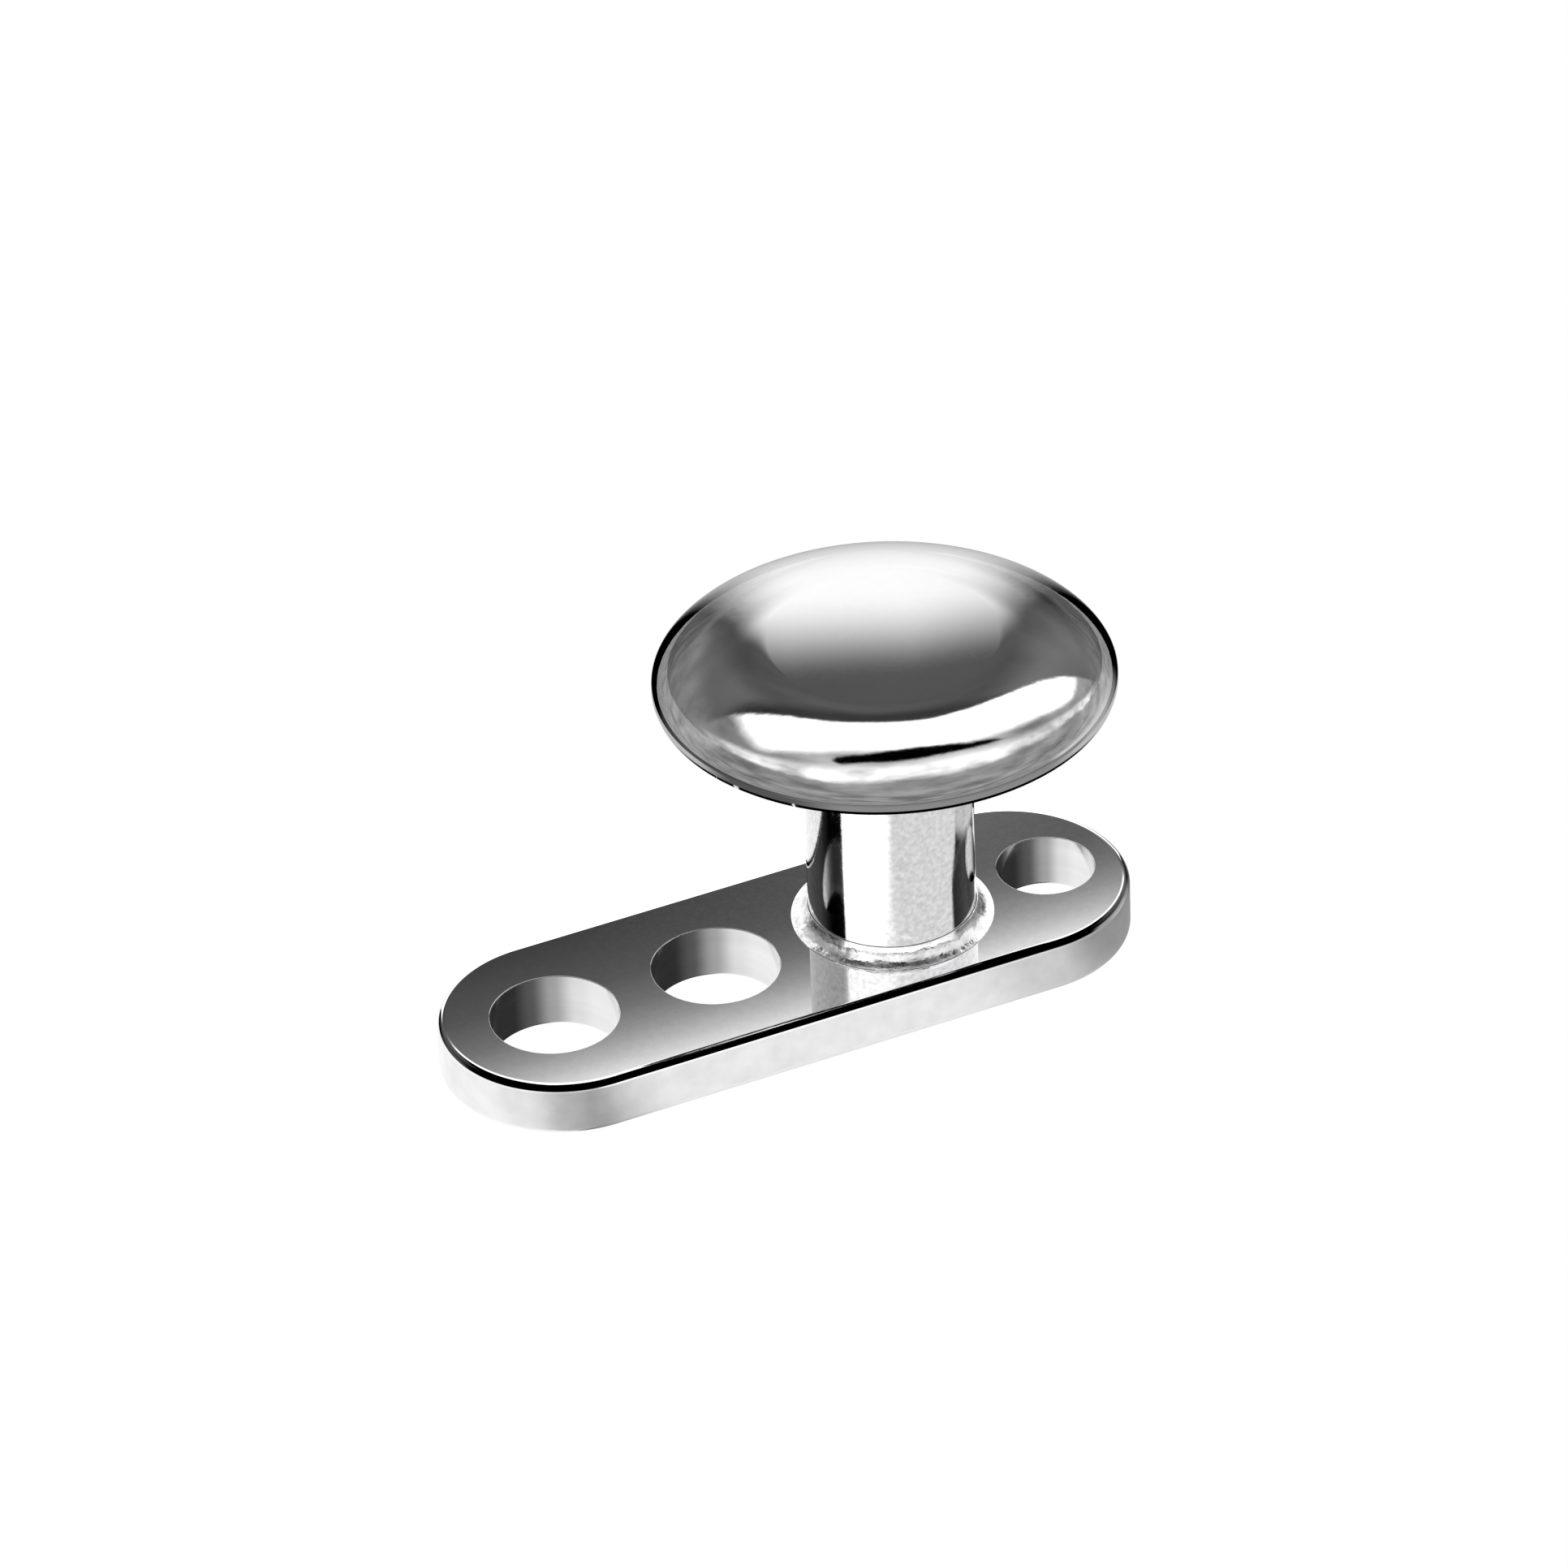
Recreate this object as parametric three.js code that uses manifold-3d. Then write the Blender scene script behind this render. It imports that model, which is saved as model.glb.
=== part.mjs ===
// A body-piercing micro anchor: a foot plate with three holes, a threaded post on it, and a 4 mm
// disc top that screws into the post.
// Millimetres, +Z up. The origin is on the post's axis, at the foot plate's underside, and +X runs
// along the plate towards its short end, the one with the small hole.
import * as THREE from 'three';
import { mergeVertices } from 'three/addons/utils/BufferGeometryUtils.js';
import Module from 'manifold-3d';

const wasm = await Module();
wasm.setup();

// Foot plate: a stadium whose centre lies off the post's axis.
const plateLength = 6.46;
const plateWidth = 2.2;
const plateThickness = 0.51;
const plateCentreX = -1.03;
const plateEdgeRound = 0.07;
const plateHoles = [
  { x: -3.245, radius: 0.565 },
  { x: -1.71, radius: 0.565 },
  { x: 1.5, radius: 0.435 },
];
const holeUnderEdge = 0.03; // the holes' chamfer at the plate's underside

// Post: a blind threaded tube, seated in a shallow pocket in the plate.
const postRadius = 0.74;
const postRise = 2.42; // from the plate's top to the disc's underside
const postEdge = 0.02;
const pocketDepth = 0.15;
const pocketClearance = 0.01;
const mouthRadius = 0.63; // the countersink at the post's mouth
const mouthDepth = 0.13;
const boreEndGap = 0.15; // plain bore below the thread

// Weld bead around the post's foot, a concave fillet.
const beadRadius = 0.89;
const beadHeight = 0.15;
const beadLip = 0.02;
const beadSteps = 6;

// Thread, M1.2 x 0.25, right-handed.
const threadPitch = 0.25;
const studCoreRadius = 0.46;
const studCrestRadius = 0.6;
const crestHalfWidth = 0.025;
const flankTangent = Math.tan(THREE.MathUtils.degToRad(30));
const threadClearance = 0.03; // radial, between the stud's crest and the groove
const flankClearance = 0.022; // along the axis, on each flank
const boreClearance = 0.04; // radial, between the stud's core and the bore
const ridgeRoot = 0.02; // how far a thread's root is sunk into the body that carries it
const grooveRoot = 0.012;
const grooveBeyond = 2; // turns of groove cut above the stud's thread, out through the mouth
const grooveBelow = 1;
const studTurns = 6;
const studNeck = 0.25; // plain length under the disc
const studTip = 0.1;
const studFade = 0.25; // turns over which the thread rises at each end
const fadeStart = 0.15; // the share of its height it starts with
const studSeatDepth = 0.14; // how far the stud enters the disc
const studSeatClearance = 0.01;

// Disc top: a flat underside, an upright rim, and a sloping shoulder that rolls over to the face.
const discRadius = 2.01;
const discThickness = 0.49;
const discRim = 0.08;
const discUnderEdge = 0.02;
const rimRound = 0.13; // how high the rim's tangent is held as it turns over
const faceRadius = 1.15;
const faceRound = 0.4; // how far out the face's tangent is held before it falls away
const shoulderSteps = 10;

// Weld ring between the stud and the disc.
const ringRadius = 0.55;
const ringHeight = 0.09;
const ringGap = 0.005;

// Fineness of the facets.
const roundSegments = 48;
const segmentsPerTurn = 16;
const mergeTolerance = 1e-5;
const overcut = 0.1; // how far a cutter runs past the faces it cuts

// Heights that follow from the sizes above.
const plateTop = plateThickness;
const discUnderside = plateTop + postRise;
const threadTop = discUnderside - studNeck;
const threadBottom = threadTop - studTurns * threadPitch;
const grooveTop = threadTop + grooveBeyond * threadPitch;
const grooveTurns = studTurns + grooveBeyond + grooveBelow;
const boreBottom = grooveTop - grooveTurns * threadPitch - boreEndGap;
const discTopZ = discUnderside + discThickness;

function solidOf(geometry) {
  const bare = geometry.clone();
  bare.deleteAttribute('normal');
  bare.deleteAttribute('uv');
  const merged = mergeVertices(bare, mergeTolerance);
  return new wasm.Manifold(new wasm.Mesh({
    numProp: 3,
    vertProperties: new Float32Array(merged.attributes.position.array),
    triVerts: new Uint32Array(merged.index.array),
  }));
}

function geometryOf(solid) {
  const mesh = solid.getMesh();
  const geometry = new THREE.BufferGeometry();
  geometry.setAttribute('position', new THREE.BufferAttribute(mesh.vertProperties, 3));
  geometry.setIndex(new THREE.BufferAttribute(mesh.triVerts, 1));
  geometry.computeVertexNormals();
  return geometry;
}

// A solid of revolution about +Z from [radius, height] points, listed with the solid on their left.
function turned(profile, segments = roundSegments) {
  const points = profile.map(([radius, height]) => new THREE.Vector2(radius, height));
  const geometry = new THREE.LatheGeometry(points, segments);
  geometry.rotateX(Math.PI / 2);
  return geometry;
}

// A ridge wound down the Z axis as a right-hand helix. Its section is given as
// [radius, height] points, and it fades into the core over the given turns at each end.
function helicalRidge(section, coreRadius, turns, topZ, fadeTurns) {
  const shape = new THREE.Shape(section.map(([radius, height]) => new THREE.Vector2(radius, height)));
  const geometry = new THREE.ExtrudeGeometry(shape, {
    depth: turns,
    steps: Math.round(turns * segmentsPerTurn),
    bevelEnabled: false,
  });
  const position = geometry.attributes.position;
  for (let i = 0; i < position.count; i += 1) {
    const turn = position.getZ(i);
    const angle = -2 * Math.PI * turn;
    const fromEnd = Math.min(turn, turns - turn);
    const fade = fadeTurns > 0 ? THREE.MathUtils.clamp(fromEnd / fadeTurns, fadeStart, 1) : 1;
    const height = position.getY(i);
    const wanted = position.getX(i);
    const radius = wanted > coreRadius ? coreRadius + (wanted - coreRadius) * fade : wanted;
    position.setXYZ(
      i,
      radius * Math.cos(angle),
      radius * Math.sin(angle),
      topZ + height - threadPitch * turn,
    );
  }
  geometry.computeVertexNormals();
  return geometry;
}

// A through cutter along Z with a chamfer where it leaves the plate's underside.
function holeCutter({ x, radius }) {
  const cutter = turned([
    [0, -overcut],
    [radius + holeUnderEdge + overcut, -overcut],
    [radius, holeUnderEdge],
    [radius, plateTop + overcut],
    [0, plateTop + overcut],
  ]);
  cutter.translate(x, 0, 0);
  return solidOf(cutter);
}

function footPlate() {
  const halfWidth = plateWidth / 2;
  const halfStraight = plateLength / 2 - halfWidth;
  const left = plateCentreX - halfStraight;
  const right = plateCentreX + halfStraight;
  const outline = new THREE.Shape();
  outline.moveTo(left, -halfWidth);
  outline.lineTo(right, -halfWidth);
  outline.absarc(right, 0, halfWidth, -Math.PI / 2, Math.PI / 2, false);
  outline.lineTo(left, halfWidth);
  outline.absarc(left, 0, halfWidth, Math.PI / 2, (3 * Math.PI) / 2, false);
  const slab = new THREE.ExtrudeGeometry(outline, {
    depth: plateThickness - 2 * plateEdgeRound,
    bevelThickness: plateEdgeRound,
    bevelSize: plateEdgeRound,
    bevelOffset: -plateEdgeRound,
    bevelSegments: 2,
    curveSegments: roundSegments / 4,
  });
  slab.translate(0, 0, plateEdgeRound);
  let plate = solidOf(slab);
  for (const hole of plateHoles) {
    plate = plate.subtract(holeCutter(hole));
  }
  const pocketFloor = plateTop - pocketDepth;
  const pocketRadius = postRadius + pocketClearance;
  const pocket = turned([
    [0, pocketFloor],
    [pocketRadius, pocketFloor],
    [pocketRadius, plateTop + overcut],
    [0, plateTop + overcut],
  ]);
  return geometryOf(plate.subtract(solidOf(pocket)));
}

// The thread's section, widened by the given clearances, from innerRadius out to its crest.
function threadSection(innerRadius, crestGap, flankGap) {
  const crest = studCrestRadius + crestGap;
  const halfWidth = (radius) => (
    crestHalfWidth + Math.max(0, studCrestRadius - radius) * flankTangent + flankGap
  );
  return [
    [innerRadius, -halfWidth(innerRadius)],
    [crest, -halfWidth(crest)],
    [crest, halfWidth(crest)],
    [innerRadius, halfWidth(innerRadius)],
  ];
}

function threadedPost() {
  const foot = plateTop - pocketDepth;
  const boreRadius = studCoreRadius + boreClearance;
  const tube = turned([
    [0, foot],
    [postRadius - postEdge, foot],
    [postRadius, foot + postEdge],
    [postRadius, discUnderside - postEdge],
    [postRadius - postEdge, discUnderside],
    [mouthRadius, discUnderside],
    [boreRadius, discUnderside - mouthDepth],
    [boreRadius, boreBottom],
    [0, boreBottom - boreRadius * flankTangent],
  ]);
  const section = threadSection(boreRadius - grooveRoot, threadClearance, flankClearance);
  const groove = helicalRidge(section, boreRadius, grooveTurns, grooveTop, 0);
  return geometryOf(solidOf(tube).subtract(solidOf(groove)));
}

function footWeld() {
  const inner = postRadius + ringGap;
  const profile = [[inner, plateTop], [beadRadius, plateTop]];
  for (let i = 0; i <= beadSteps; i += 1) {
    const turn = (Math.PI / 2) * (i / beadSteps);
    profile.push([
      beadRadius - (beadRadius - inner - beadLip) * Math.sin(turn),
      plateTop + beadLip + (beadHeight - beadLip) * (1 - Math.cos(turn)),
    ]);
  }
  profile.push([inner, plateTop + beadHeight]);
  profile.push([inner, plateTop]);
  return turned(profile);
}

function threadedStud() {
  const coreBottom = threadBottom - studTip;
  const core = turned([
    [0, coreBottom],
    [studCoreRadius - studTip / 2, coreBottom],
    [studCoreRadius, coreBottom + studTip],
    [studCoreRadius, discUnderside + studSeatDepth],
    [0, discUnderside + studSeatDepth],
  ], segmentsPerTurn);
  const section = threadSection(studCoreRadius - ridgeRoot, 0, 0);
  const ridge = helicalRidge(section, studCoreRadius, studTurns, threadTop, studFade);
  return geometryOf(solidOf(core).add(solidOf(ridge)));
}

function studWeld() {
  const inner = studCoreRadius + ringGap;
  return turned([
    [inner, discUnderside - ringHeight],
    [inner + beadLip, discUnderside - ringHeight],
    [ringRadius, discUnderside - beadLip],
    [ringRadius, discUnderside],
    [inner, discUnderside],
    [inner, discUnderside - ringHeight],
  ]);
}

function discTop() {
  const seatRadius = studCoreRadius + studSeatClearance;
  const seatRoof = discUnderside + studSeatDepth;
  const rimTop = discUnderside + discRim;
  const shoulder = new THREE.CubicBezierCurve(
    new THREE.Vector2(discRadius, rimTop),
    new THREE.Vector2(discRadius, rimTop + rimRound),
    new THREE.Vector2(faceRadius + faceRound, discTopZ),
    new THREE.Vector2(faceRadius, discTopZ),
  );
  return turned([
    [0, seatRoof],
    [seatRadius, seatRoof],
    [seatRadius, discUnderside],
    [discRadius - discUnderEdge, discUnderside],
    [discRadius, discUnderside + discUnderEdge],
    ...shoulder.getPoints(shoulderSteps).map((point) => point.toArray()),
    [0, discTopZ],
  ]);
}

const polishedSteel = new THREE.MeshStandardMaterial({ color: 0xd4d6d8, roughness: 0.08, metalness: 1 });
const satinSteel = new THREE.MeshStandardMaterial({ color: 0xc6c8ca, roughness: 0.3, metalness: 1 });
const weldSteel = new THREE.MeshStandardMaterial({ color: 0xb9bbbd, roughness: 0.25, metalness: 1 });

const anchor = new THREE.Group();

function place(name, geometry, material) {
  const mesh = new THREE.Mesh(geometry, material.clone());
  mesh.name = name;
  anchor.add(mesh);
}

place('foot_plate', footPlate(), polishedSteel);
place('threaded_post', threadedPost(), satinSteel);
place('foot_weld', footWeld(), weldSteel);
place('disc_top', discTop(), polishedSteel);
place('threaded_stud', threadedStud(), satinSteel);
place('stud_weld', studWeld(), weldSteel);

export default anchor;
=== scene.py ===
"""A body-piercing micro anchor: a foot plate, a threaded post and a 4 mm disc top that screws off."""

import math

import bpy
from mathutils import Matrix, Vector
from mathutils.geometry import tessellate_polygon


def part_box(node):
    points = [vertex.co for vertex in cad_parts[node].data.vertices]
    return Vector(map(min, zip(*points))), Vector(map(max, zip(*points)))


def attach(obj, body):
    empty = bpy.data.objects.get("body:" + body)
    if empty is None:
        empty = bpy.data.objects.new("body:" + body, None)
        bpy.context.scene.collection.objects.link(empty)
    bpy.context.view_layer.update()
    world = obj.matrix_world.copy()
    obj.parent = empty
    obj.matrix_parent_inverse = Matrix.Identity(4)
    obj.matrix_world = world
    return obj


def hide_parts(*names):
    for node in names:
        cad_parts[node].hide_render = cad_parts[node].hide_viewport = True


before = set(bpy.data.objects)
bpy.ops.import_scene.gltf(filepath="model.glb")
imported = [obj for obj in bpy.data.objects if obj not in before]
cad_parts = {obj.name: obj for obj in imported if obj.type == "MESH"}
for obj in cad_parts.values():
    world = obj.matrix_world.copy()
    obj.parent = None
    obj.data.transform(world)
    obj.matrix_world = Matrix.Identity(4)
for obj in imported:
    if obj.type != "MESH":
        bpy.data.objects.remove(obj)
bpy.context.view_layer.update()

# Everything below is in millimetres until a mesh is finished.
MM = 0.001
DEGREES = 180 / math.pi  # in a radian


def box_mm(node):
    low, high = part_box(node)
    return low / MM, high / MM


# Sizes that the frame gives.
plate_low, plate_high = box_mm("foot_plate")
post_low, post_high = box_mm("threaded_post")
disc_low, disc_high = box_mm("disc_top")
bead_high = box_mm("foot_weld")[1]
stud_low, stud_high = box_mm("threaded_stud")
ring_low, ring_high = box_mm("stud_weld")

half_width = plate_high.y
end_left = plate_low.x + half_width
end_right = plate_high.x - half_width
plate_top = plate_high.z
post_radius = post_high.x
post_foot, post_top = post_low.z, post_high.z
bead_radius, bead_top = bead_high.x, bead_high.z
disc_radius, disc_under, disc_top = disc_high.x, disc_low.z, disc_high.z
stud_end, stud_seat = stud_low.z, stud_high.z
ring_radius, ring_under = ring_high.x, ring_low.z

# Sizes that the boxes don't show.
plate_round = 0.07
plate_holes = [(-3.245, 0.565), (-1.71, 0.565), (1.5, 0.435)]  # place along X, radius
hole_round = 0.006
hole_under_round = 0.03
pocket_gap = 0.01  # round the post's foot, in the pocket that it stands in
edge_round = 0.02
bead_lip = 0.006  # where the bead runs out on the plate and on the post
disc_rim = 0.08  # height of the disc's upright rim
rim_round = 0.13  # how far up the rim's tangent is held before the shoulder rolls over
rim_under_width, rim_under_height = 0.012, 0.036  # the chamfer under the rim
face_radius = 1.0
face_round = 0.55  # how far out the face's tangent is held before it falls away
face_crown = 0.012  # how much higher the middle of the disc's face is than its edge
seat_gap = 0.01  # round the stud's head, in the disc
ring_gap = 0.005  # between each weld and what it goes round

# The thread, M1.2 x 0.25.
pitch = 0.25
flank = math.tan(math.radians(30))
crest_half = 0.025  # half the width of the crest
crest_radius = 0.6
stud_core = 0.46
stud_turns = 6
stud_fade = 0.25  # turns over which the stud's thread rises at each end
stud_tip = 0.1
stud_neck = 0.25
thread_top = disc_under - stud_neck
thread_gap, flank_gap = 0.03, 0.022  # the groove's room at the crest and on each flank
groove_above, groove_below = 2, 1  # turns of groove past the stud's thread
groove_top = thread_top + groove_above * pitch
groove_turns = stud_turns + groove_above + groove_below
bore_radius = 0.5
bore_end_gap = 0.15  # plain bore below the thread
bore_end = groove_top - groove_turns * pitch - bore_end_gap
bore_cone = 0.29  # depth of the drill point
mouth_radius, mouth_depth = 0.63, 0.13
groove_root, ridge_root = 0.012, 0.02  # how far each thread is sunk into its wall

# How finely round shapes are divided.
ROUND = 192
DISC_ROUND = 256
END_STEPS = 64
TURN_STEPS = 72
SHOULDER_STEPS = 48
CROWN_STEPS = 12
BEAD_STEPS = 10
FADE_START = 0.15  # share of its height that a fading thread begins with
SHARPEST = math.radians(35)  # edges turning less than this are shaded smooth
ON_WALL = 1e-4  # how near a corner must be to a wall to lie on it


# ---------------------------------------------------------------- mesh building


class Skin:
    """A mesh being made. Corners at one place share a vertex, and faces keep their own normals."""

    def __init__(self):
        self.known = {}
        self.points = []
        self.faces = []
        self.normals = []
        self.finishes = []

    def vertex(self, point):
        key = tuple(round(c, 6) for c in point)
        if key not in self.known:
            self.known[key] = len(self.points)
            self.points.append(Vector(point))
        return self.known[key]

    def face(self, points, normals, finish=0):
        corners = [self.vertex(p) for p in points]
        keep = [i for i in range(len(corners)) if corners[i] != corners[i - 1]]
        if len(keep) < 3:
            return
        self.faces.append([corners[i] for i in keep])
        self.normals.extend(normals[i] for i in keep)
        self.finishes.append(finish)

    def mesh(self, name):
        made = bpy.data.meshes.new(name)
        made.from_pydata(self.points, [], self.faces)
        made.polygons.foreach_set("material_index", self.finishes)
        made.polygons.foreach_set("use_smooth", [True] * len(self.faces))
        made.normals_split_custom_set(self.normals)
        return made


def piece(name, mesh, materials, body, nodes):
    """Puts a finished millimetre mesh into the scene in metres, riding on its body."""
    mesh.transform(Matrix.Scale(MM, 4))
    for material in materials:
        mesh.materials.append(material)
    made = bpy.data.objects.new(name, mesh)
    bpy.context.scene.collection.objects.link(made)
    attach(made, body)
    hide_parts(*nodes)
    return made


# A profile is a list of (point, normal) pairs in the (out, up) plane, with the solid on its left.


def line(start, end):
    start, end = Vector(start), Vector(end)
    along = end - start
    normal = Vector((along.y, -along.x)).normalized()
    return [(start, normal), (end, normal)]


def arc(centre, radius, start, end, steps=10):
    """Part of a circle. Angles are in degrees from the outward direction, up being 90."""
    points = []
    for k in range(steps + 1):
        angle = math.radians(start + (end - start) * k / steps)
        ray = Vector((math.cos(angle), math.sin(angle)))
        points.append((Vector(centre) + ray * radius, ray))
    return points


def bezier(a, b, c, d, steps):
    a, b, c, d = (Vector(p) for p in (a, b, c, d))
    points = []
    for k in range(steps + 1):
        t = k / steps
        s = 1 - t
        point = a * s**3 + b * 3 * s * s * t + c * 3 * s * t * t + d * t**3
        along = (b - a) * s * s + (c - b) * 2 * s * t + (d - c) * t * t
        points.append((point, Vector((along.y, -along.x)).normalized()))
    return points


# An outline is a closed list of (base, ray) pairs: a profile point lies at base + ray * out.


def circle(x=0.0, steps=ROUND):
    turns = [2 * math.pi * k / steps for k in range(steps)]
    return [(Vector((x, 0)), Vector((math.cos(t), math.sin(t)))) for t in turns]


def stadium(left, right, steps):
    pairs = []
    for x, first in ((right, -math.pi / 2), (left, math.pi / 2)):
        for k in range(steps + 1):
            turn = first + math.pi * k / steps
            pairs.append((Vector((x, 0)), Vector((math.cos(turn), math.sin(turn)))))
    return pairs


def ring_at(outline, out):
    return [base + ray * out for base, ray in outline]


def swept(skin, outline, profile, finish=0):
    """Carries a profile round an outline."""

    def place(base, ray, point):
        return (base.x + ray.x * point.x, base.y + ray.y * point.x, point.y)

    for (base_a, ray_a), (base_b, ray_b) in zip(outline, outline[1:] + outline[:1]):
        for (p, n), (q, m) in zip(profile, profile[1:]):
            leans = [(ray_a, n), (ray_b, n), (ray_b, m), (ray_a, m)]
            corners = [
                (base_a, ray_a, p),
                (base_b, ray_b, p),
                (base_b, ray_b, q),
                (base_a, ray_a, q),
            ]
            normals = [(ray.x * lean.x, ray.y * lean.x, lean.y) for ray, lean in leans]
            skin.face([place(*corner) for corner in corners], normals, finish)


def level(skin, loops, height, up, finish=0):
    """A flat face at a height, facing up or down, with the loops after the first as holes in it."""
    corners = [p for loop in loops for p in loop]
    normal = (0, 0, 1 if up else -1)
    for a, b, c in tessellate_polygon([[p.to_3d() for p in loop] for loop in loops]):
        area = (corners[b] - corners[a]).cross(corners[c] - corners[a])
        order = (a, b, c) if (area > 0) == up else (a, c, b)
        skin.face([(corners[i].x, corners[i].y, height) for i in order], [normal] * 3, finish)


def solid(name, profile_runs, steps=ROUND):
    """A body of revolution from several runs of profile, with a crease where two runs meet."""
    skin = Skin()
    for run in profile_runs:
        swept(skin, circle(steps=steps), run)
    return skin.mesh(name)


def half_width_of_thread(radius):
    return crest_half + max(0, crest_radius - radius) * flank


def helix(inner, crest, gap, turns, top, fade_turns=0):
    """A closed ridge wound down the Z axis as a right-hand thread, which can fade at both ends.

    gap is how much wider each of its flanks is than the stud's.
    """
    inner_half, crest_half_here = (half_width_of_thread(radius) + gap for radius in (inner, crest))
    section = [
        (inner, -inner_half),
        (crest, -crest_half_here),
        (crest, crest_half_here),
        (inner, inner_half),
    ]
    steps = turns * TURN_STEPS
    points, faces = [], []
    for k in range(steps + 1):
        turn = k / TURN_STEPS
        angle = -2 * math.pi * turn
        fade = 1.0
        if fade_turns:
            fade = min(1.0, max(FADE_START, min(turn, turns - turn) / fade_turns))
        for out, rise in section:
            radius = inner + (out - inner) * fade
            height = top + rise - pitch * turn
            points.append((radius * math.cos(angle), radius * math.sin(angle), height))
    sides = len(section)
    for k in range(steps):
        here, after = k * sides, (k + 1) * sides
        for i in range(sides):
            j = (i + 1) % sides
            faces.append((here + i, here + j, after + j, after + i))
    faces += [tuple(reversed(range(sides))), tuple(steps * sides + i for i in range(sides))]
    mesh = bpy.data.meshes.new("ridge")
    mesh.from_pydata(points, [], faces)
    return mesh


def combined(base, tool, operation):
    """Cuts or joins two closed meshes and gives the result, with its sharpest edges creased."""
    body, cutter = bpy.data.objects.new("base", base), bpy.data.objects.new("tool", tool)
    for made in (body, cutter):
        bpy.context.scene.collection.objects.link(made)
    modifier = body.modifiers.new("join", "BOOLEAN")
    modifier.object, modifier.operation, modifier.solver = cutter, operation, "MANIFOLD"
    graph = bpy.context.evaluated_depsgraph_get()
    result = bpy.data.meshes.new_from_object(body.evaluated_get(graph))
    for made in (body, cutter):
        bpy.data.objects.remove(made)
    result.materials.clear()
    result.shade_smooth()
    result.set_sharp_from_angle(angle=SHARPEST)
    return result


def true_walls(mesh, radius):
    """Gives the faces of an upright wall about the Z axis exactly radial normals."""
    normals = [corner.vector.copy() for corner in mesh.corner_normals]
    for polygon in mesh.polygons:
        places = [mesh.vertices[mesh.loops[i].vertex_index].co for i in polygon.loop_indices]
        if all(abs(place.to_2d().length - radius) < ON_WALL for place in places):
            for loop, place in zip(polygon.loop_indices, places):
                normals[loop] = Vector((place.x, place.y, 0)).normalized()
    mesh.normals_split_custom_set(normals)


# ---------------------------------------------------------------- materials


class Nodes:
    """Adds nodes to a tree. Inputs are numbers, vectors or other nodes' outputs."""

    def __init__(self, tree):
        self.tree = tree

    def add(self, kind, inputs=None, output=0, **settings):
        node = self.tree.nodes.new(kind)
        for name, value in settings.items():
            setattr(node, name, value)
        for key, value in (inputs or {}).items():
            if isinstance(value, bpy.types.NodeSocket):
                self.tree.links.new(value, node.inputs[key])
            else:
                node.inputs[key].default_value = value
        return node.outputs[output]

    def math(self, operation, *values):
        return self.add("ShaderNodeMath", dict(enumerate(values)), operation=operation)

    def vector(self, operation, *values):
        output = 1 if operation in ("DOT_PRODUCT", "LENGTH") else 0
        return self.add("ShaderNodeVectorMath", dict(enumerate(values)), output, operation=operation)

    def product(self, first, *others):
        for other in others:
            first = self.math("MULTIPLY", first, other)
        return first

    def distance(self, a, b):
        """How far the place (a, b) is from the middle."""
        return self.math("SQRT", self.math("ADD", self.product(a, a), self.product(b, b)))

    def along(self, vector, direction):
        return self.vector("DOT_PRODUCT", vector, tuple(direction))

    def turn(self, right, front):
        """The angle of (right, front) from the front, in degrees, to the right being positive."""
        return self.math("MULTIPLY", self.math("ARCTAN2", right, front), DEGREES)

    def mix(self, share, low, high):
        return self.add("ShaderNodeMix", {0: share, 2: low, 3: high}, data_type="FLOAT")

    def in_mm(self, kind, output):
        """The place that a node gives in metres, in millimetres."""
        place = self.vector("SCALE", self.add(kind, output=output))
        place.node.inputs["Scale"].default_value = 1 / MM
        return place

    def step(self, value, start, end, low=0.0, high=1.0):
        """Runs smoothly from low to high as value goes from start to end."""
        sizes = {0: value, 1: start, 2: end, 3: low, 4: high}
        return self.add("ShaderNodeMapRange", sizes, interpolation_type="SMOOTHSTEP")

    def spread(self, value, start, end, low=0.0, high=1.0):
        """Runs straight from low to high as value goes from start to end."""
        return self.add("ShaderNodeMapRange", {0: value, 1: start, 2: end, 3: low, 4: high})

    def curve(self, value, stops, blend="EASE"):
        """A value read from a list of (position, level) stops."""
        start, end = stops[0][0], stops[-1][0]
        node = self.tree.nodes.new("ShaderNodeValToRGB")
        ramp = node.color_ramp
        ramp.interpolation = blend
        ramp.elements.remove(ramp.elements[1])
        for k, (position, level_there) in enumerate(stops):
            where = (position - start) / (end - start)
            element = ramp.elements.new(where) if k else ramp.elements[0]
            element.position = where
            element.color = (level_there, level_there, level_there, 1)
        self.tree.links.new(self.spread(value, start, end), node.inputs[0])
        return node.outputs[0]

    def noise(self, place, scale, detail=2.0, roughness=0.5):
        sizes = {"Vector": place, "Scale": scale, "Detail": detail, "Roughness": roughness}
        return self.add("ShaderNodeTexNoise", sizes)

    def parts(self, vector):
        node = self.tree.nodes.new("ShaderNodeSeparateXYZ")
        self.tree.links.new(vector, node.inputs[0])
        return node.outputs


MOST_NOISE = (0.3, 0.7)  # the range that nearly all of a noise's values are in
BLUE = 1.008  # how much bluer than grey steel is
GRAIN_DETAIL, GRAIN_ROUGHNESS = 3.0, 0.6
STAIN_SCALE = 3  # stains are this much larger than the grain


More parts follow.
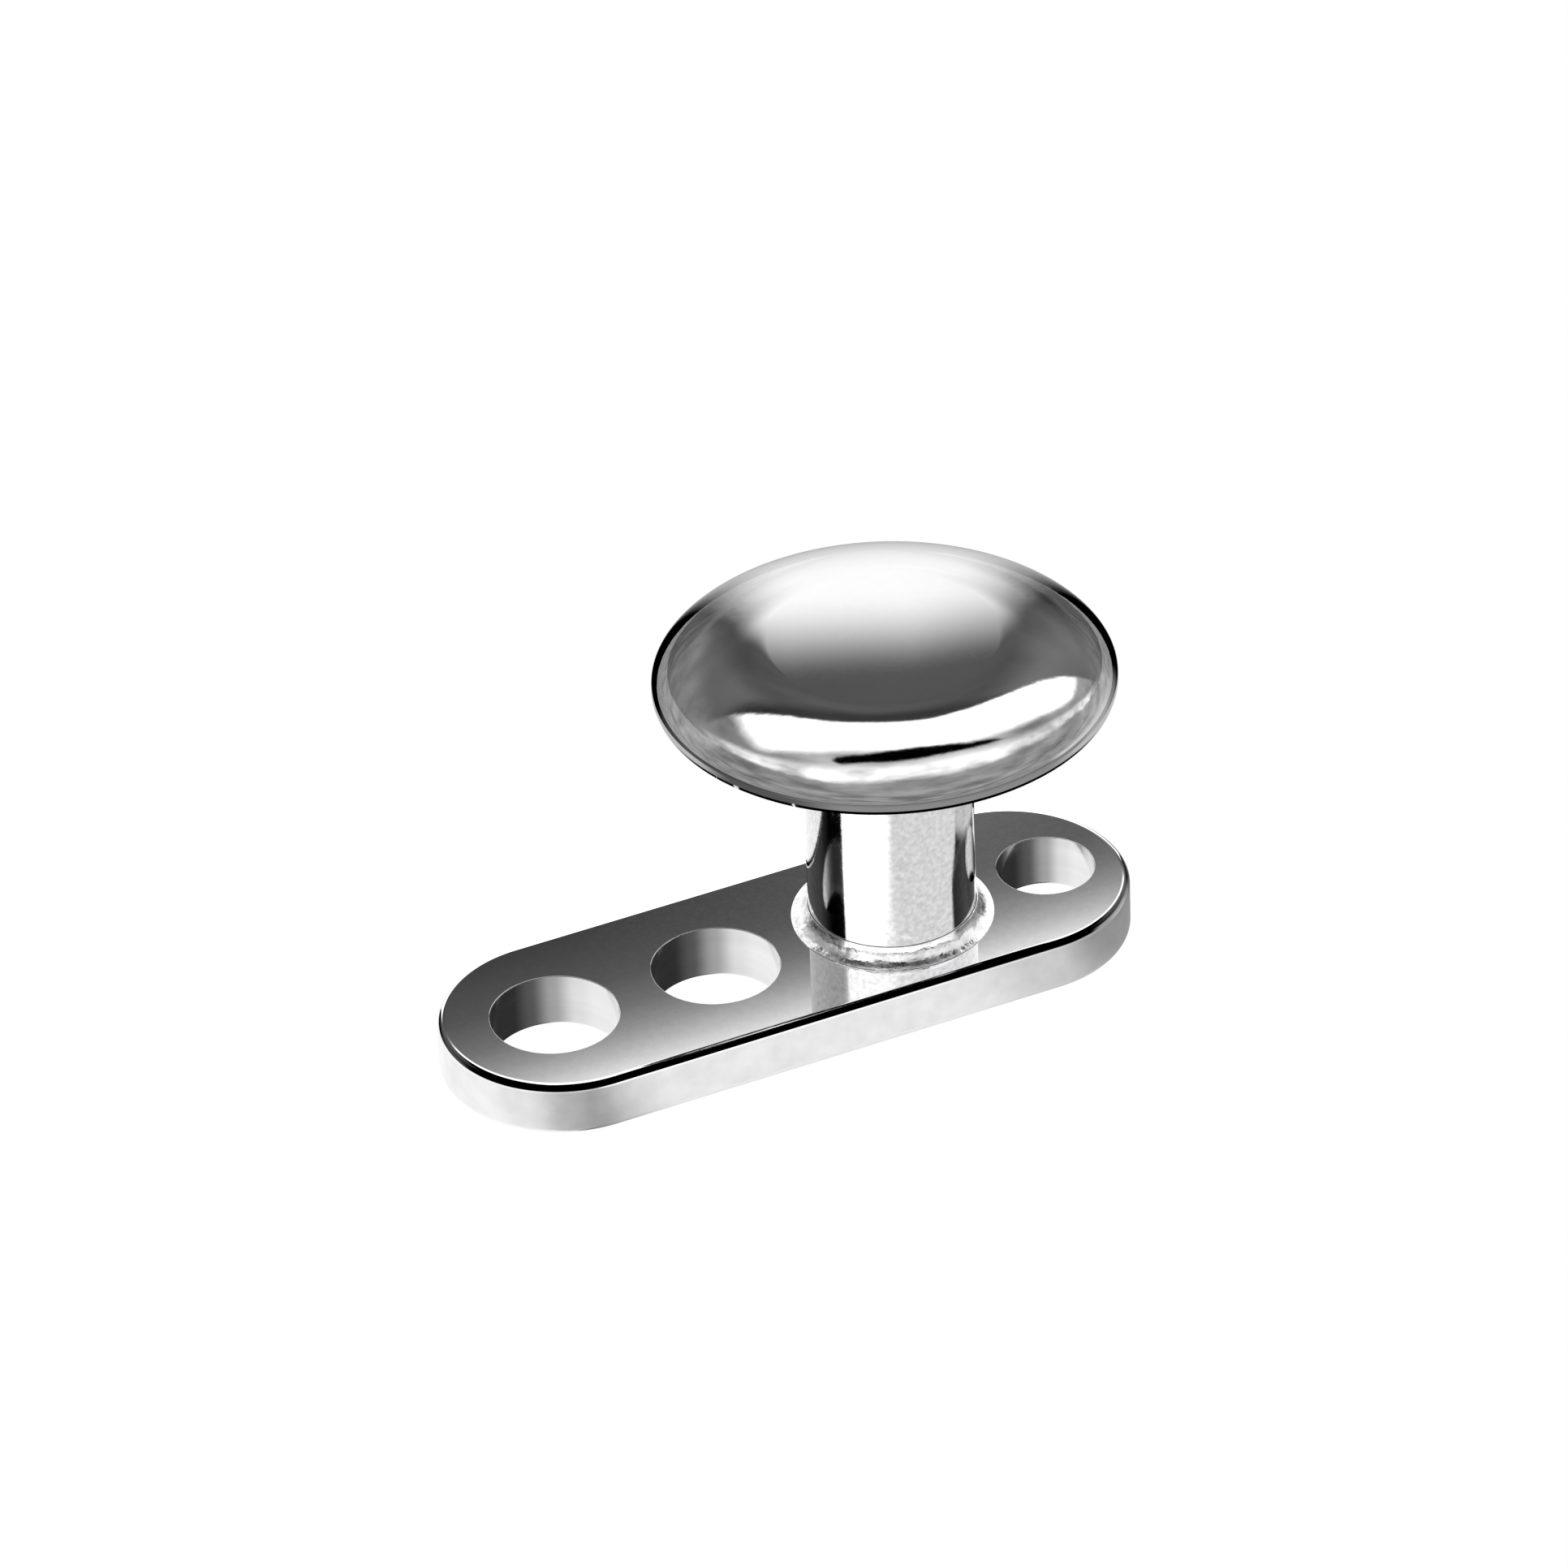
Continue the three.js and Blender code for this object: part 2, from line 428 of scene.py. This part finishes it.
def steel(name, tone, shine, grain, waves, stretch=(1, 1, 1), wave_from=None):
    """Bare steel.

    tone is (darkest, lightest), shine is (smoothest, roughest), grain and waves are each (features
    per millimetre, depth in millimetres) of the surface's relief. stretch draws the grain out along
    an axis, and wave_from is the distances from the Z axis where the relief starts and is full.
    """
    material = bpy.data.materials.new(name)
    material.use_nodes = True
    tree = material.node_tree
    tree.nodes.clear()
    n = Nodes(tree)
    place = n.in_mm("ShaderNodeTexCoord", "Object")
    drawn = n.vector("MULTIPLY", place, stretch)
    fine = n.noise(drawn, grain[0], GRAIN_DETAIL, GRAIN_ROUGHNESS)
    heights = [(fine, grain[1]), (n.noise(place, waves[0]), waves[1])]
    if wave_from:
        keep = n.step(n.vector("LENGTH", n.vector("MULTIPLY", place, (1, 1, 0))), *wave_from)
        heights = [(n.product(height, keep), depth) for height, depth in heights]
    bumps = {}
    for height, depth in heights:
        relief = {"Strength": 1.0, "Distance": depth * MM, "Height": height}
        bumps = {"Normal": n.add("ShaderNodeBump", {**relief, **bumps})}
    stains = n.spread(n.noise(drawn, grain[0] / STAIN_SCALE), *MOST_NOISE, *tone)
    colour = n.add("ShaderNodeCombineColor", {0: stains, 1: stains, 2: n.product(stains, BLUE)})
    rough = n.spread(fine, *MOST_NOISE, *shine)
    surface = {"Base Color": colour, "Metallic": 1.0, "Roughness": rough, **bumps}
    shader = n.add("ShaderNodeBsdfPrincipled", surface)
    tree.links.new(shader, tree.nodes.new("ShaderNodeOutputMaterial").inputs[0])
    return material


mirror_steel = steel("mirror_steel", (0.86, 0.9), (0.02, 0.05), (40, 0.00002), (2, 0.0001))
disc_steel = steel(
    "disc_steel", (0.875, 0.89), (0.02, 0.05), (30, 0.0001), (3.5, 0.0012), wave_from=(1.2, 1.4)
)
tumbled_steel = steel("tumbled_steel", (0.8, 0.9), (0.15, 0.25), (14, 0.0008), (3, 0.003))
drilled_steel = steel(
    "drilled_steel", (0.82, 0.9), (0.08, 0.16), (5, 0.0006), (2, 0.002), stretch=(0.3, 0.3, 4)
)
satin_steel = steel("satin_steel", (0.56, 0.74), (0.04, 0.1), (66, 0.0003), (3, 0.001))
thread_steel = steel("thread_steel", (0.7, 0.8), (0.15, 0.3), (18, 0.0015), (3, 0.001))
weld_steel = steel("weld_steel", (0.5, 0.88), (0.15, 0.4), (14, 0.008), (5, 0.02))


# ---------------------------------------------------------------- the pieces


def foot_plate():
    skin = Skin()
    outer = stadium(end_left, end_right, END_STEPS)
    straight = half_width - plate_round
    polished, tumbled, drilled = 0, 1, 2
    swept(skin, outer, arc((straight, plate_round), plate_round, -90, 0), polished)
    side = line((half_width, plate_round), (half_width, plate_top - plate_round))
    swept(skin, outer, side, tumbled)
    swept(skin, outer, arc((straight, plate_top - plate_round), plate_round, 0, 90), polished)
    top_loops, under_loops = [ring_at(outer, straight)], [ring_at(outer, straight)]
    for x, radius in plate_holes:
        rim = circle(x, ROUND // 2)
        lip, under_lip = radius + hole_round, radius + hole_under_round
        swept(skin, rim, arc((lip, plate_top - hole_round), hole_round, 90, 180, 3), polished)
        wall = line((radius, plate_top - hole_round), (radius, hole_under_round))
        swept(skin, rim, wall, drilled)
        swept(skin, rim, arc((under_lip, hole_under_round), hole_under_round, 180, 270, 6), drilled)
        top_loops.append(ring_at(rim, lip))
        under_loops.append(ring_at(rim, under_lip))
    pocket = circle()
    pocket_radius = post_radius + pocket_gap
    swept(skin, pocket, line((pocket_radius, plate_top), (pocket_radius, post_foot)), drilled)
    swept(skin, pocket, line((pocket_radius, post_foot), (0, post_foot)), drilled)
    top_loops.append(ring_at(pocket, pocket_radius))
    level(skin, top_loops, plate_top, True, polished)
    level(skin, under_loops, 0, False, polished)
    materials = [mirror_steel, tumbled_steel, drilled_steel]
    mesh = skin.mesh("plate")
    return piece("plate", mesh, materials, "anchor", ["foot_plate"])


def threaded_post():
    low, high = post_foot + edge_round, post_top - edge_round
    inside = post_radius - edge_round
    tube = solid("tube", [
        line((0, post_foot), (inside, post_foot)),
        arc((inside, low), edge_round, -90, 0, 5),
        line((post_radius, low), (post_radius, high)),
        arc((inside, high), edge_round, 0, 90, 5),
        line((inside, post_top), (mouth_radius, post_top)),
        line((mouth_radius, post_top), (bore_radius, post_top - mouth_depth)),
        line((bore_radius, post_top - mouth_depth), (bore_radius, bore_end)),
        line((bore_radius, bore_end), (0, bore_end - bore_cone)),
    ])
    inner, crest = bore_radius - groove_root, crest_radius + thread_gap
    groove = helix(inner, crest, flank_gap, groove_turns, groove_top)
    post = combined(tube, groove, "DIFFERENCE")
    true_walls(post, post_radius)
    return piece("post", post, [satin_steel], "anchor", ["threaded_post"])


def foot_weld():
    """The bead round the post's foot: a hollow fillet."""
    inner = post_radius + ring_gap
    foot = plate_top + bead_lip
    across, rise = bead_radius - inner - bead_lip, bead_top - foot
    fillet = []
    for k in range(BEAD_STEPS + 1):
        turn = math.pi / 2 * k / BEAD_STEPS
        out, up = math.sin(turn), math.cos(turn)
        point = Vector((bead_radius - across * out, foot + rise * (1 - up)))
        fillet.append((point, Vector((rise * out, across * up)).normalized()))
    mesh = solid("bead", [
        line((inner, plate_top), (bead_radius, plate_top)),
        line((bead_radius, plate_top), (bead_radius, foot)),
        fillet,
        line(fillet[-1][0], (inner, bead_top)),
        line((inner, bead_top), (inner, plate_top)),
    ])
    return piece("foot_bead", mesh, [weld_steel], "anchor", ["foot_weld"])


def disc_top_piece():
    rim_top = disc_under + disc_rim
    face_edge = disc_top - face_crown
    crown_radius = (face_radius**2 + face_crown**2) / (2 * face_crown)
    crown_angle = math.degrees(math.asin(face_radius / crown_radius))
    seat = stud_core + seat_gap
    under = disc_radius - rim_under_width
    rim_foot = disc_under + rim_under_height
    lean = math.tan(math.radians(crown_angle))
    shoulder = bezier(
        (disc_radius, rim_top),
        (disc_radius, rim_top + rim_round),
        (face_radius + face_round, face_edge - face_round * lean),
        (face_radius, face_edge),
        SHOULDER_STEPS,
    )
    crown = arc((0, disc_top - crown_radius), crown_radius, 90 - crown_angle, 90, CROWN_STEPS)
    mesh = solid("disc", [
        line((0, stud_seat), (seat, stud_seat)),
        line((seat, stud_seat), (seat, disc_under)),
        line((seat, disc_under), (under, disc_under)),
        line((under, disc_under), (disc_radius, rim_foot)),
        line((disc_radius, rim_foot), (disc_radius, rim_top)),
        shoulder,
        crown,
    ], DISC_ROUND)
    return piece("disc", mesh, [disc_steel], "top", ["disc_top"])


def threaded_stud():
    tip_radius = stud_core - stud_tip / 2
    core = solid("core", [
        line((0, stud_end), (tip_radius, stud_end)),
        line((tip_radius, stud_end), (stud_core, stud_end + stud_tip)),
        line((stud_core, stud_end + stud_tip), (stud_core, stud_seat)),
        line((stud_core, stud_seat), (0, stud_seat)),
    ], TURN_STEPS)
    ridge = helix(stud_core - ridge_root, crest_radius, 0, stud_turns, thread_top, stud_fade)
    stud = combined(core, ridge, "UNION")
    true_walls(stud, stud_core)
    return piece("stud", stud, [thread_steel], "top", ["threaded_stud"])


def stud_weld():
    inner = stud_core + ring_gap
    out = inner + edge_round
    mesh = solid("ring", [
        line((inner, ring_under), (out, ring_under)),
        line((out, ring_under), (ring_radius, disc_under - edge_round)),
        line((ring_radius, disc_under - edge_round), (ring_radius, disc_under)),
        line((ring_radius, disc_under), (inner, disc_under)),
        line((inner, disc_under), (inner, ring_under)),
    ])
    return piece("stud_bead", mesh, [weld_steel], "lift", ["stud_weld"])


plate = foot_plate()
post = threaded_post()
bead = foot_weld()
disc = disc_top_piece()
threaded_stud()
stud_weld()


# ---------------------------------------------------------------- camera

CAMERA_AZIMUTH = -23.947
CAMERA_ELEVATION = 34.473
CAMERA_ROLL = -2.423
CAMERA_DISTANCE = 76.0
CAMERA_LENS = 199.14
CAMERA_CLIP = 0.01, 2.0  # in metres
FOOT_ACROSS, FOOT_UP = 0.951, -1.121  # where the post's foot is, from the middle of the picture


def add_camera():
    azimuth = math.radians(CAMERA_AZIMUTH)
    elevation = math.radians(CAMERA_ELEVATION)
    roll = math.radians(CAMERA_ROLL)
    back = Vector((
        math.sin(azimuth) * math.cos(elevation),
        -math.cos(azimuth) * math.cos(elevation),
        math.sin(elevation),
    ))
    right = Vector((0, 0, 1)).cross(back).normalized()
    up = back.cross(right)
    right, up = (
        math.cos(roll) * right + math.sin(roll) * up,
        math.cos(roll) * up - math.sin(roll) * right,
    )
    foot = Vector((0, 0, plate_top))
    place = foot - FOOT_ACROSS * right - FOOT_UP * up + CAMERA_DISTANCE * back
    data = bpy.data.cameras.new("camera")
    data.lens = CAMERA_LENS
    data.clip_start, data.clip_end = CAMERA_CLIP
    camera = bpy.data.objects.new("camera", data)
    turn = Matrix((right, up, back)).transposed().to_4x4()
    camera.matrix_world = Matrix.Translation(place * MM) @ turn
    bpy.context.scene.collection.objects.link(camera)
    bpy.context.scene.camera = camera


add_camera()


# ---------------------------------------------------------------- studio

# The studio is laid out by where the camera looks: ahead is away from it along the floor.
ahead = Vector((-math.sin(math.radians(CAMERA_AZIMUTH)), math.cos(math.radians(CAMERA_AZIMUTH)), 0))
aside = Vector((ahead.y, -ahead.x, 0))

ACROSS, UP, DOWN = (1, 0, 0), (0, 0, 1), (0, 0, -1)
CEILING = 60.0  # height of the panels overhead
GROUND = 60.0  # depth of the panels far below
SKIRT_DEPTH = 0.1  # of the panel just under the plate
SHEET_LIFT = 0.01  # of the sheet that lies on the plate
CLOUD_SCALE, CLOUD_DETAIL, CLOUD_ROUGHNESS = 0.035, 3.0, 0.6
STAGE_REACH = 300  # of the floor and the backdrop, within the camera's clip distance
FLOOR_DROP = 0.002  # keeps the floor clear of the plate's underside
DOME_SIDES, DOME_STEPS = 48, 12


def only_for(name, *objects):
    """A group of objects that a light is kept to."""
    group = bpy.data.collections.new(name)
    for made in objects:
        group.objects.link(made)
    return group


def panel(name, centre, facing, width, height, glow, group):
    """A soft light panel in millimetres, with its width along X, seen only in reflections.

    glow gives its brightness from its nodes and the place on it in millimetres.
    """
    data = bpy.data.lights.new(name, "AREA")
    data.shape = "RECTANGLE"
    data.size, data.size_y = width * MM, height * MM
    data.energy = math.pi * data.size * data.size_y  # so that glow is the panel's brightness
    data.use_nodes = True
    tree = data.node_tree
    tree.nodes.clear()
    n = Nodes(tree)
    place = n.in_mm("ShaderNodeNewGeometry", "Position")
    shader = n.add("ShaderNodeEmission", {"Strength": glow(n, place)})
    tree.links.new(shader, tree.nodes.new("ShaderNodeOutputLight").inputs[0])
    lamp = bpy.data.objects.new(name, data)
    back = -Vector(facing)
    right = Vector(ACROSS)
    turn = Matrix((right, back.cross(right), back)).transposed().to_4x4()
    lamp.matrix_world = Matrix.Translation(Vector(centre) * MM) @ turn
    lamp.visible_camera = False
    lamp.visible_diffuse = False
    lamp.light_linking.receiver_collection = group
    bpy.context.scene.collection.objects.link(lamp)


# Each function from here to camera_only gives the brightness of the world or of a panel, where 1 is
# the floor's white. Its steps and curves read millimetres, degrees where they read a turn, and for the
# disc's panels how far a place is over how high it is.


def sky():
    """What all the pieces reflect, by direction.

    It is a bright card ahead, low light at the sides, pale ground on the camera's side, and dark
    overhead and behind. Angles are in degrees.
    """
    world = bpy.data.worlds.new("studio")
    bpy.context.scene.world = world
    world.use_nodes = True
    tree = world.node_tree
    tree.nodes.clear()
    n = Nodes(tree)
    towards = n.add("ShaderNodeTexCoord", output="Generated")
    forward, sideways = n.along(towards, ahead), n.along(towards, aside)
    azimuth = n.turn(sideways, forward)
    elevation = n.math("MULTIPLY", n.math("ARCSINE", n.parts(towards)[2]), DEGREES)

    # The card's upper edge fades and drops away from the middle, and its sides fade too.
    off_middle = n.math("ABSOLUTE", azimuth)
    past_centre = n.math("MAXIMUM", n.math("SUBTRACT", off_middle, 1.5), 0.0)
    drop = n.math("MULTIPLY", past_centre, 0.35)
    card_top = n.step(n.math("ADD", elevation, drop), 31.3, 35.5, 1.25, 0.0)
    narrowed = n.math("ADD", off_middle, n.step(elevation, 16, 31, 0.0, 4.0))
    card = n.product(n.step(narrowed, 5, 16, 1.0, 0.0), card_top, n.step(elevation, -35, 25, 0.45, 1.0))

    haze = n.curve(azimuth, [
        (-90, 0.0), (-55, 0.1), (-22, 0.15), (-10, 0.065), (8, 0.065), (25, 0.2), (50, 0.1), (90, 0.0),
    ])
    sides = n.curve(azimuth, [
        (-95, 0.0), (-80, 0.12), (-62, 0.08), (-46, 0.0),
        (36, 0.0), (50, 0.3), (60, 0.5), (92, 0.5), (104, 0.0),
    ])
    rise = n.step(elevation, 8, 26)
    low = n.product(sides, n.math("SUBTRACT", 1.0, rise))
    above = n.math("ADD", n.product(haze, rise), low)
    above = n.product(above, n.step(elevation, 44, 50, 1.0, 0.0))
    above = n.math("ADD", above, card)

    # The ground fades out straight below.
    below = n.step(elevation, -30, -22)
    camera_side = n.step(forward, 0.1, 0.3, 1.0, 0.0)
    near_ground = n.product(below, camera_side, n.step(sideways, -0.95, -0.4, 0.1, 0.3))
    far_ground = n.product(n.math("SUBTRACT", 1.0, camera_side), above, below)
    strength = n.mix(n.step(elevation, -3, 0), n.math("ADD", near_ground, far_ground), above)
    shader = n.add("ShaderNodeBackground", {"Strength": strength})
    tree.links.new(shader, tree.nodes.new("ShaderNodeOutputWorld").inputs[0])


def plate_wall(n, place):
    """Behind the plate: white near the floor, a dark gap, then brighter and brighter going up."""
    height = n.parts(place)[2]
    low = n.step(height, 4.8, 6.0, 1.2, 0.0)
    rise = n.curve(height, [
        (7.4, 0.0), (8.1, 0.05), (8.5, 0.13), (8.8, 0.27),
        (9.05, 0.48), (9.25, 0.73), (9.45, 1.0), (9.6, 1.35),
    ], "LINEAR")
    return n.math("ADD", low, rise)


def by_direction(n, place, reach):
    """How far forward and sideways a place on a level panel is, over its height from the disc."""
    forward = n.math("DIVIDE", n.along(place, ahead), reach)
    sideways = n.math("DIVIDE", n.along(place, aside), reach)
    return forward, sideways


def softbox(n, forward, sideways, far_edge):
    """A bright box ahead of the disc, bent away at its right end, with soft edges."""
    right_of = n.math("MAXIMUM", n.math("SUBTRACT", sideways, 0.1), 0.0)
    near_edge = n.math("ADD", 0.32, n.product(n.math("POWER", right_of, 1.6), 0.8))
    past_near = n.step(n.math("SUBTRACT", forward, near_edge), -0.1, 0.06)
    within_far = n.step(n.math("SUBTRACT", forward, far_edge), -0.03, 0.04, 1.0, 0.0)
    ends = n.product(n.step(sideways, -0.62, -0.42), n.step(sideways, 0.86, 1.02, 1.0, 0.0))
    return n.product(past_near, within_far, ends, 1.5)


def black_strip(n, forward, sideways):
    """0 inside a thin dark strip between the softbox and the arc, and 1 outside it."""
    middle = n.math("ADD", 0.205, n.product(sideways, 0.25))
    spare = 0.08  # the ramp can't go below 0, so its levels are this much too high
    half_height = n.curve(sideways, [
        (-0.3, 0.0), (-0.22, 0.05), (-0.17, 0.12), (0.08, 0.155), (0.36, 0.11), (0.5, 0.06), (0.6, 0.0),
    ])
    half_height = n.math("SUBTRACT", half_height, spare)
    off_strip = n.math("ABSOLUTE", n.math("SUBTRACT", forward, middle))
    return n.step(n.math("SUBTRACT", off_strip, half_height), -0.015, 0.03)


def disc_ceiling(n, place):
    """Over the disc: the softbox, the black strip, a clouded arc of light, and mid grey beyond."""
    forward, sideways = by_direction(n, place, CEILING - disc_top)
    clouds = n.noise(place, CLOUD_SCALE, CLOUD_DETAIL, CLOUD_ROUGHNESS)
    uneven = n.spread(clouds, *MOST_NOISE, -0.05, 0.05)
    right_of = n.math("MAXIMUM", n.math("SUBTRACT", sideways, 0.1), 0.0)
    far_edge = n.math("ADD", 0.72, n.product(right_of, 0.62))
    box = softbox(n, forward, sideways, far_edge)

    from_middle = n.math("ADD", sideways, 0.12)
    bend = n.product(from_middle, from_middle, n.step(from_middle, -0.2, 0.15, 0.8, 0.55))
    off_arc = n.math("ADD", n.math("SUBTRACT", forward, n.math("SUBTRACT", bend, 0.05)), uneven)
    arc_light = n.product(
        n.curve(off_arc, [(-0.2, 0.0), (-0.04, 0.8), (0.04, 0.75), (0.2, 0.0)]),
        n.spread(clouds, 0.38, 0.62, 0.35, 1.25),
        n.step(sideways, -1.1, -0.7),
        n.step(sideways, 1.3, 1.8, 1.0, 0.0),
    )

    # Grey on the camera's side of the arc, between it and the softbox, and at both ends.
    base = n.curve(off_arc, [(-0.4, 0.27), (-0.1, 0.27), (0.05, 0.0), (0.3, 0.0)])
    flanks = n.product(n.step(sideways, -1.0, -0.6), n.step(sideways, 1.1, 1.7, 1.0, 0.0))
    between = n.product(
        n.step(n.math("ABSOLUTE", n.math("SUBTRACT", sideways, 0.1)), 0.2, 0.6, 0.5, 0.22),
        n.step(off_arc, -0.1, 0.05),
        n.step(n.math("SUBTRACT", forward, far_edge), -0.03, 0.04, 1.0, 0.08),
        flanks,
    )
    beside = n.product(n.math("SUBTRACT", 1.0, flanks), n.step(forward, 0.0, 1.2, 0.2, 0.1))
    grey = n.math("ADD", n.math("MAXIMUM", base, beside), between)
    grey = n.product(grey, n.spread(clouds, 0.35, 0.65, 0.65, 1.5))
    level_there = n.math("ADD", n.math("MAXIMUM", box, arc_light), grey)
    return n.product(level_there, black_strip(n, forward, sideways))


def disc_floor(n, place):
    """Under the disc: white ahead, mid grey on the camera's side, and dark straight below."""
    forward, sideways = by_direction(n, place, disc_under + GROUND)
    away = n.distance(forward, sideways)
    grey = n.step(sideways, -1.2, -0.5, 0.1, 0.28)
    level_there = n.step(forward, -0.2, 0.6, grey, 0.55)
    return n.product(level_there, n.step(away, 0.9, 1.25), n.step(away, 1.75, 2.4, 1.0, 0.0))


def plate_reach(n, place):
    """How far a place is outside the plate's outline, or inside it where negative."""
    x, y = n.parts(place)[:2]
    middle, half_straight = (end_left + end_right) / 2, (end_right - end_left) / 2
    beyond = n.math("SUBTRACT", n.math("ABSOLUTE", n.math("SUBTRACT", x, middle)), half_straight)
    beyond = n.math("MAXIMUM", beyond, 0.0)
    return n.math("SUBTRACT", n.distance(beyond, y), half_width)


def past_ray(n, place, degrees):
    """How far to the right a level place is of the ray that the post sends out at an angle from the
    side that faces the camera."""
    turn = math.radians(degrees)
    normal = math.sin(2 * turn) * ahead + math.cos(2 * turn) * aside
    return n.math("ADD", n.along(place, normal), post_radius * math.sin(turn))


def post_sheet(n, place):
    """Round the post's foot: white on its left, pale on its right, and dark where the plate would
    show it the dark sky."""
    x, y = n.parts(place)[:2]
    front = n.step(past_ray(n, place, -34.7), -0.01, 0.02)
    pale = n.step(past_ray(n, place, 0), -0.4, 0.15, 2.0, 1.0)
    right = n.step(past_ray(n, place, 44), -0.02, 0.05, 1.0, 0.03)
    over_plate = n.product(front, right, pale)
    near = n.step(y, -half_width - 0.04, -half_width + 0.04, 1.0, 0.0)
    past_end = n.step(x, end_right + 0.7, end_right + 1.0, 0.0, 0.75)
    seen = n.mix(n.math("MAXIMUM", near, past_end), over_plate, pale)
    behind = n.product(n.step(y, half_width, half_width + 0.05), n.step(x, 0.3, 0.8, 1.2, 0.0))
    return n.math("ADD", seen, behind)


def post_sky(n, place):
    """The same bands overhead, for the post's own reflection in the plate."""
    turn = n.turn(n.along(place, aside), n.along(place, -ahead))
    return n.curve(turn, [
        (-180, 0.52), (-76, 0.52), (-70, 0.7), (-65, 1.7), (-8, 1.7), (10, 1.25), (180, 1.15),
    ])


def plate_floor(n, place):
    """Far under the plate, for the walls of its holes: each grows brighter from left to right."""
    turn = n.turn(n.along(place, aside), n.along(place, ahead))
    return n.curve(turn, [
        (-180, 0.41), (-140, 0.85), (-100, 0.98), (-15, 0.98),
        (10, 0.06), (60, 0.03), (100, 0.03), (140, 0.1), (180, 0.41),
    ])


def skirt(n, place):
    """Round the plate's side: bright along the middle, and darker towards both ends."""
    outside = n.step(plate_reach(n, place), -0.14, -0.1)
    level_there = n.curve(n.parts(place)[0], [
        (-5.5, 0.0), (-3.6, 0.1), (-2.4, 0.85), (0.2, 0.85), (1.2, 0.6), (2.2, 0.3), (3.5, 0.08),
    ])
    return n.product(outside, level_there)


def camera_only(name, mesh, material):
    """Puts part of the stage into the scene, hidden from everything but the camera."""
    mesh.materials.append(material)
    made = bpy.data.objects.new(name, mesh)
    made.visible_diffuse = made.visible_glossy = made.visible_transmission = False
    made.visible_volume_scatter = made.visible_shadow = False
    bpy.context.scene.collection.objects.link(made)


def floor_and_backdrop():
    white = bpy.data.materials.new("white")
    white.use_nodes = True
    tree = white.node_tree
    tree.nodes.clear()
    shader = Nodes(tree).add("ShaderNodeEmission", {"Color": (1, 1, 1, 1), "Strength": 1.0})
    tree.links.new(shader, tree.nodes.new("ShaderNodeOutputMaterial").inputs[0])

    floor = bpy.data.meshes.new("floor")
    signs = [(-1, -1), (1, -1), (1, 1), (-1, 1)]
    corners = [(x * STAGE_REACH, y * STAGE_REACH, -FLOOR_DROP) for x, y in signs]
    floor.from_pydata(corners, [], [(0, 1, 2, 3)])
    floor.transform(Matrix.Scale(MM, 4))
    camera_only("floor", floor, white)

    skin = Skin()
    swept(skin, circle(steps=DOME_SIDES), arc((0, 0), STAGE_REACH, 90, 0, DOME_STEPS))
    dome = skin.mesh("backdrop")
    dome.transform(Matrix.Scale(MM, 4))
    camera_only("backdrop", dome, white)


for_plate = only_for("for_plate", plate, bead)
for_disc = only_for("for_disc", disc)
for_post = only_for("for_post", post, bead)

sky()
# Name, middle, direction it faces, width, height, brightness, and what it lights.
panel("plate_wall", (4, 10, 25), (0, -1, 0), 18, 50, plate_wall, for_plate)
panel("plate_floor", (0, 0, -GROUND), UP, 1200, 1200, plate_floor, for_plate)
panel("skirt", (0, 0, -SKIRT_DEPTH), UP, 24, 24, skirt, for_plate)
panel("post_sheet", (0, 0, plate_top + SHEET_LIFT), UP, 24, 24, post_sheet, for_post)
panel("post_sky", (0, 0, CEILING), DOWN, 500, 500, post_sky, for_post)
panel("disc_ceiling", (0, 0, CEILING), DOWN, 3000, 3000, disc_ceiling, for_disc)
panel("disc_floor", (0, 0, -GROUND), UP, 1200, 1200, disc_floor, for_disc)
floor_and_backdrop()

bpy.context.scene.view_settings.view_transform = "Standard"
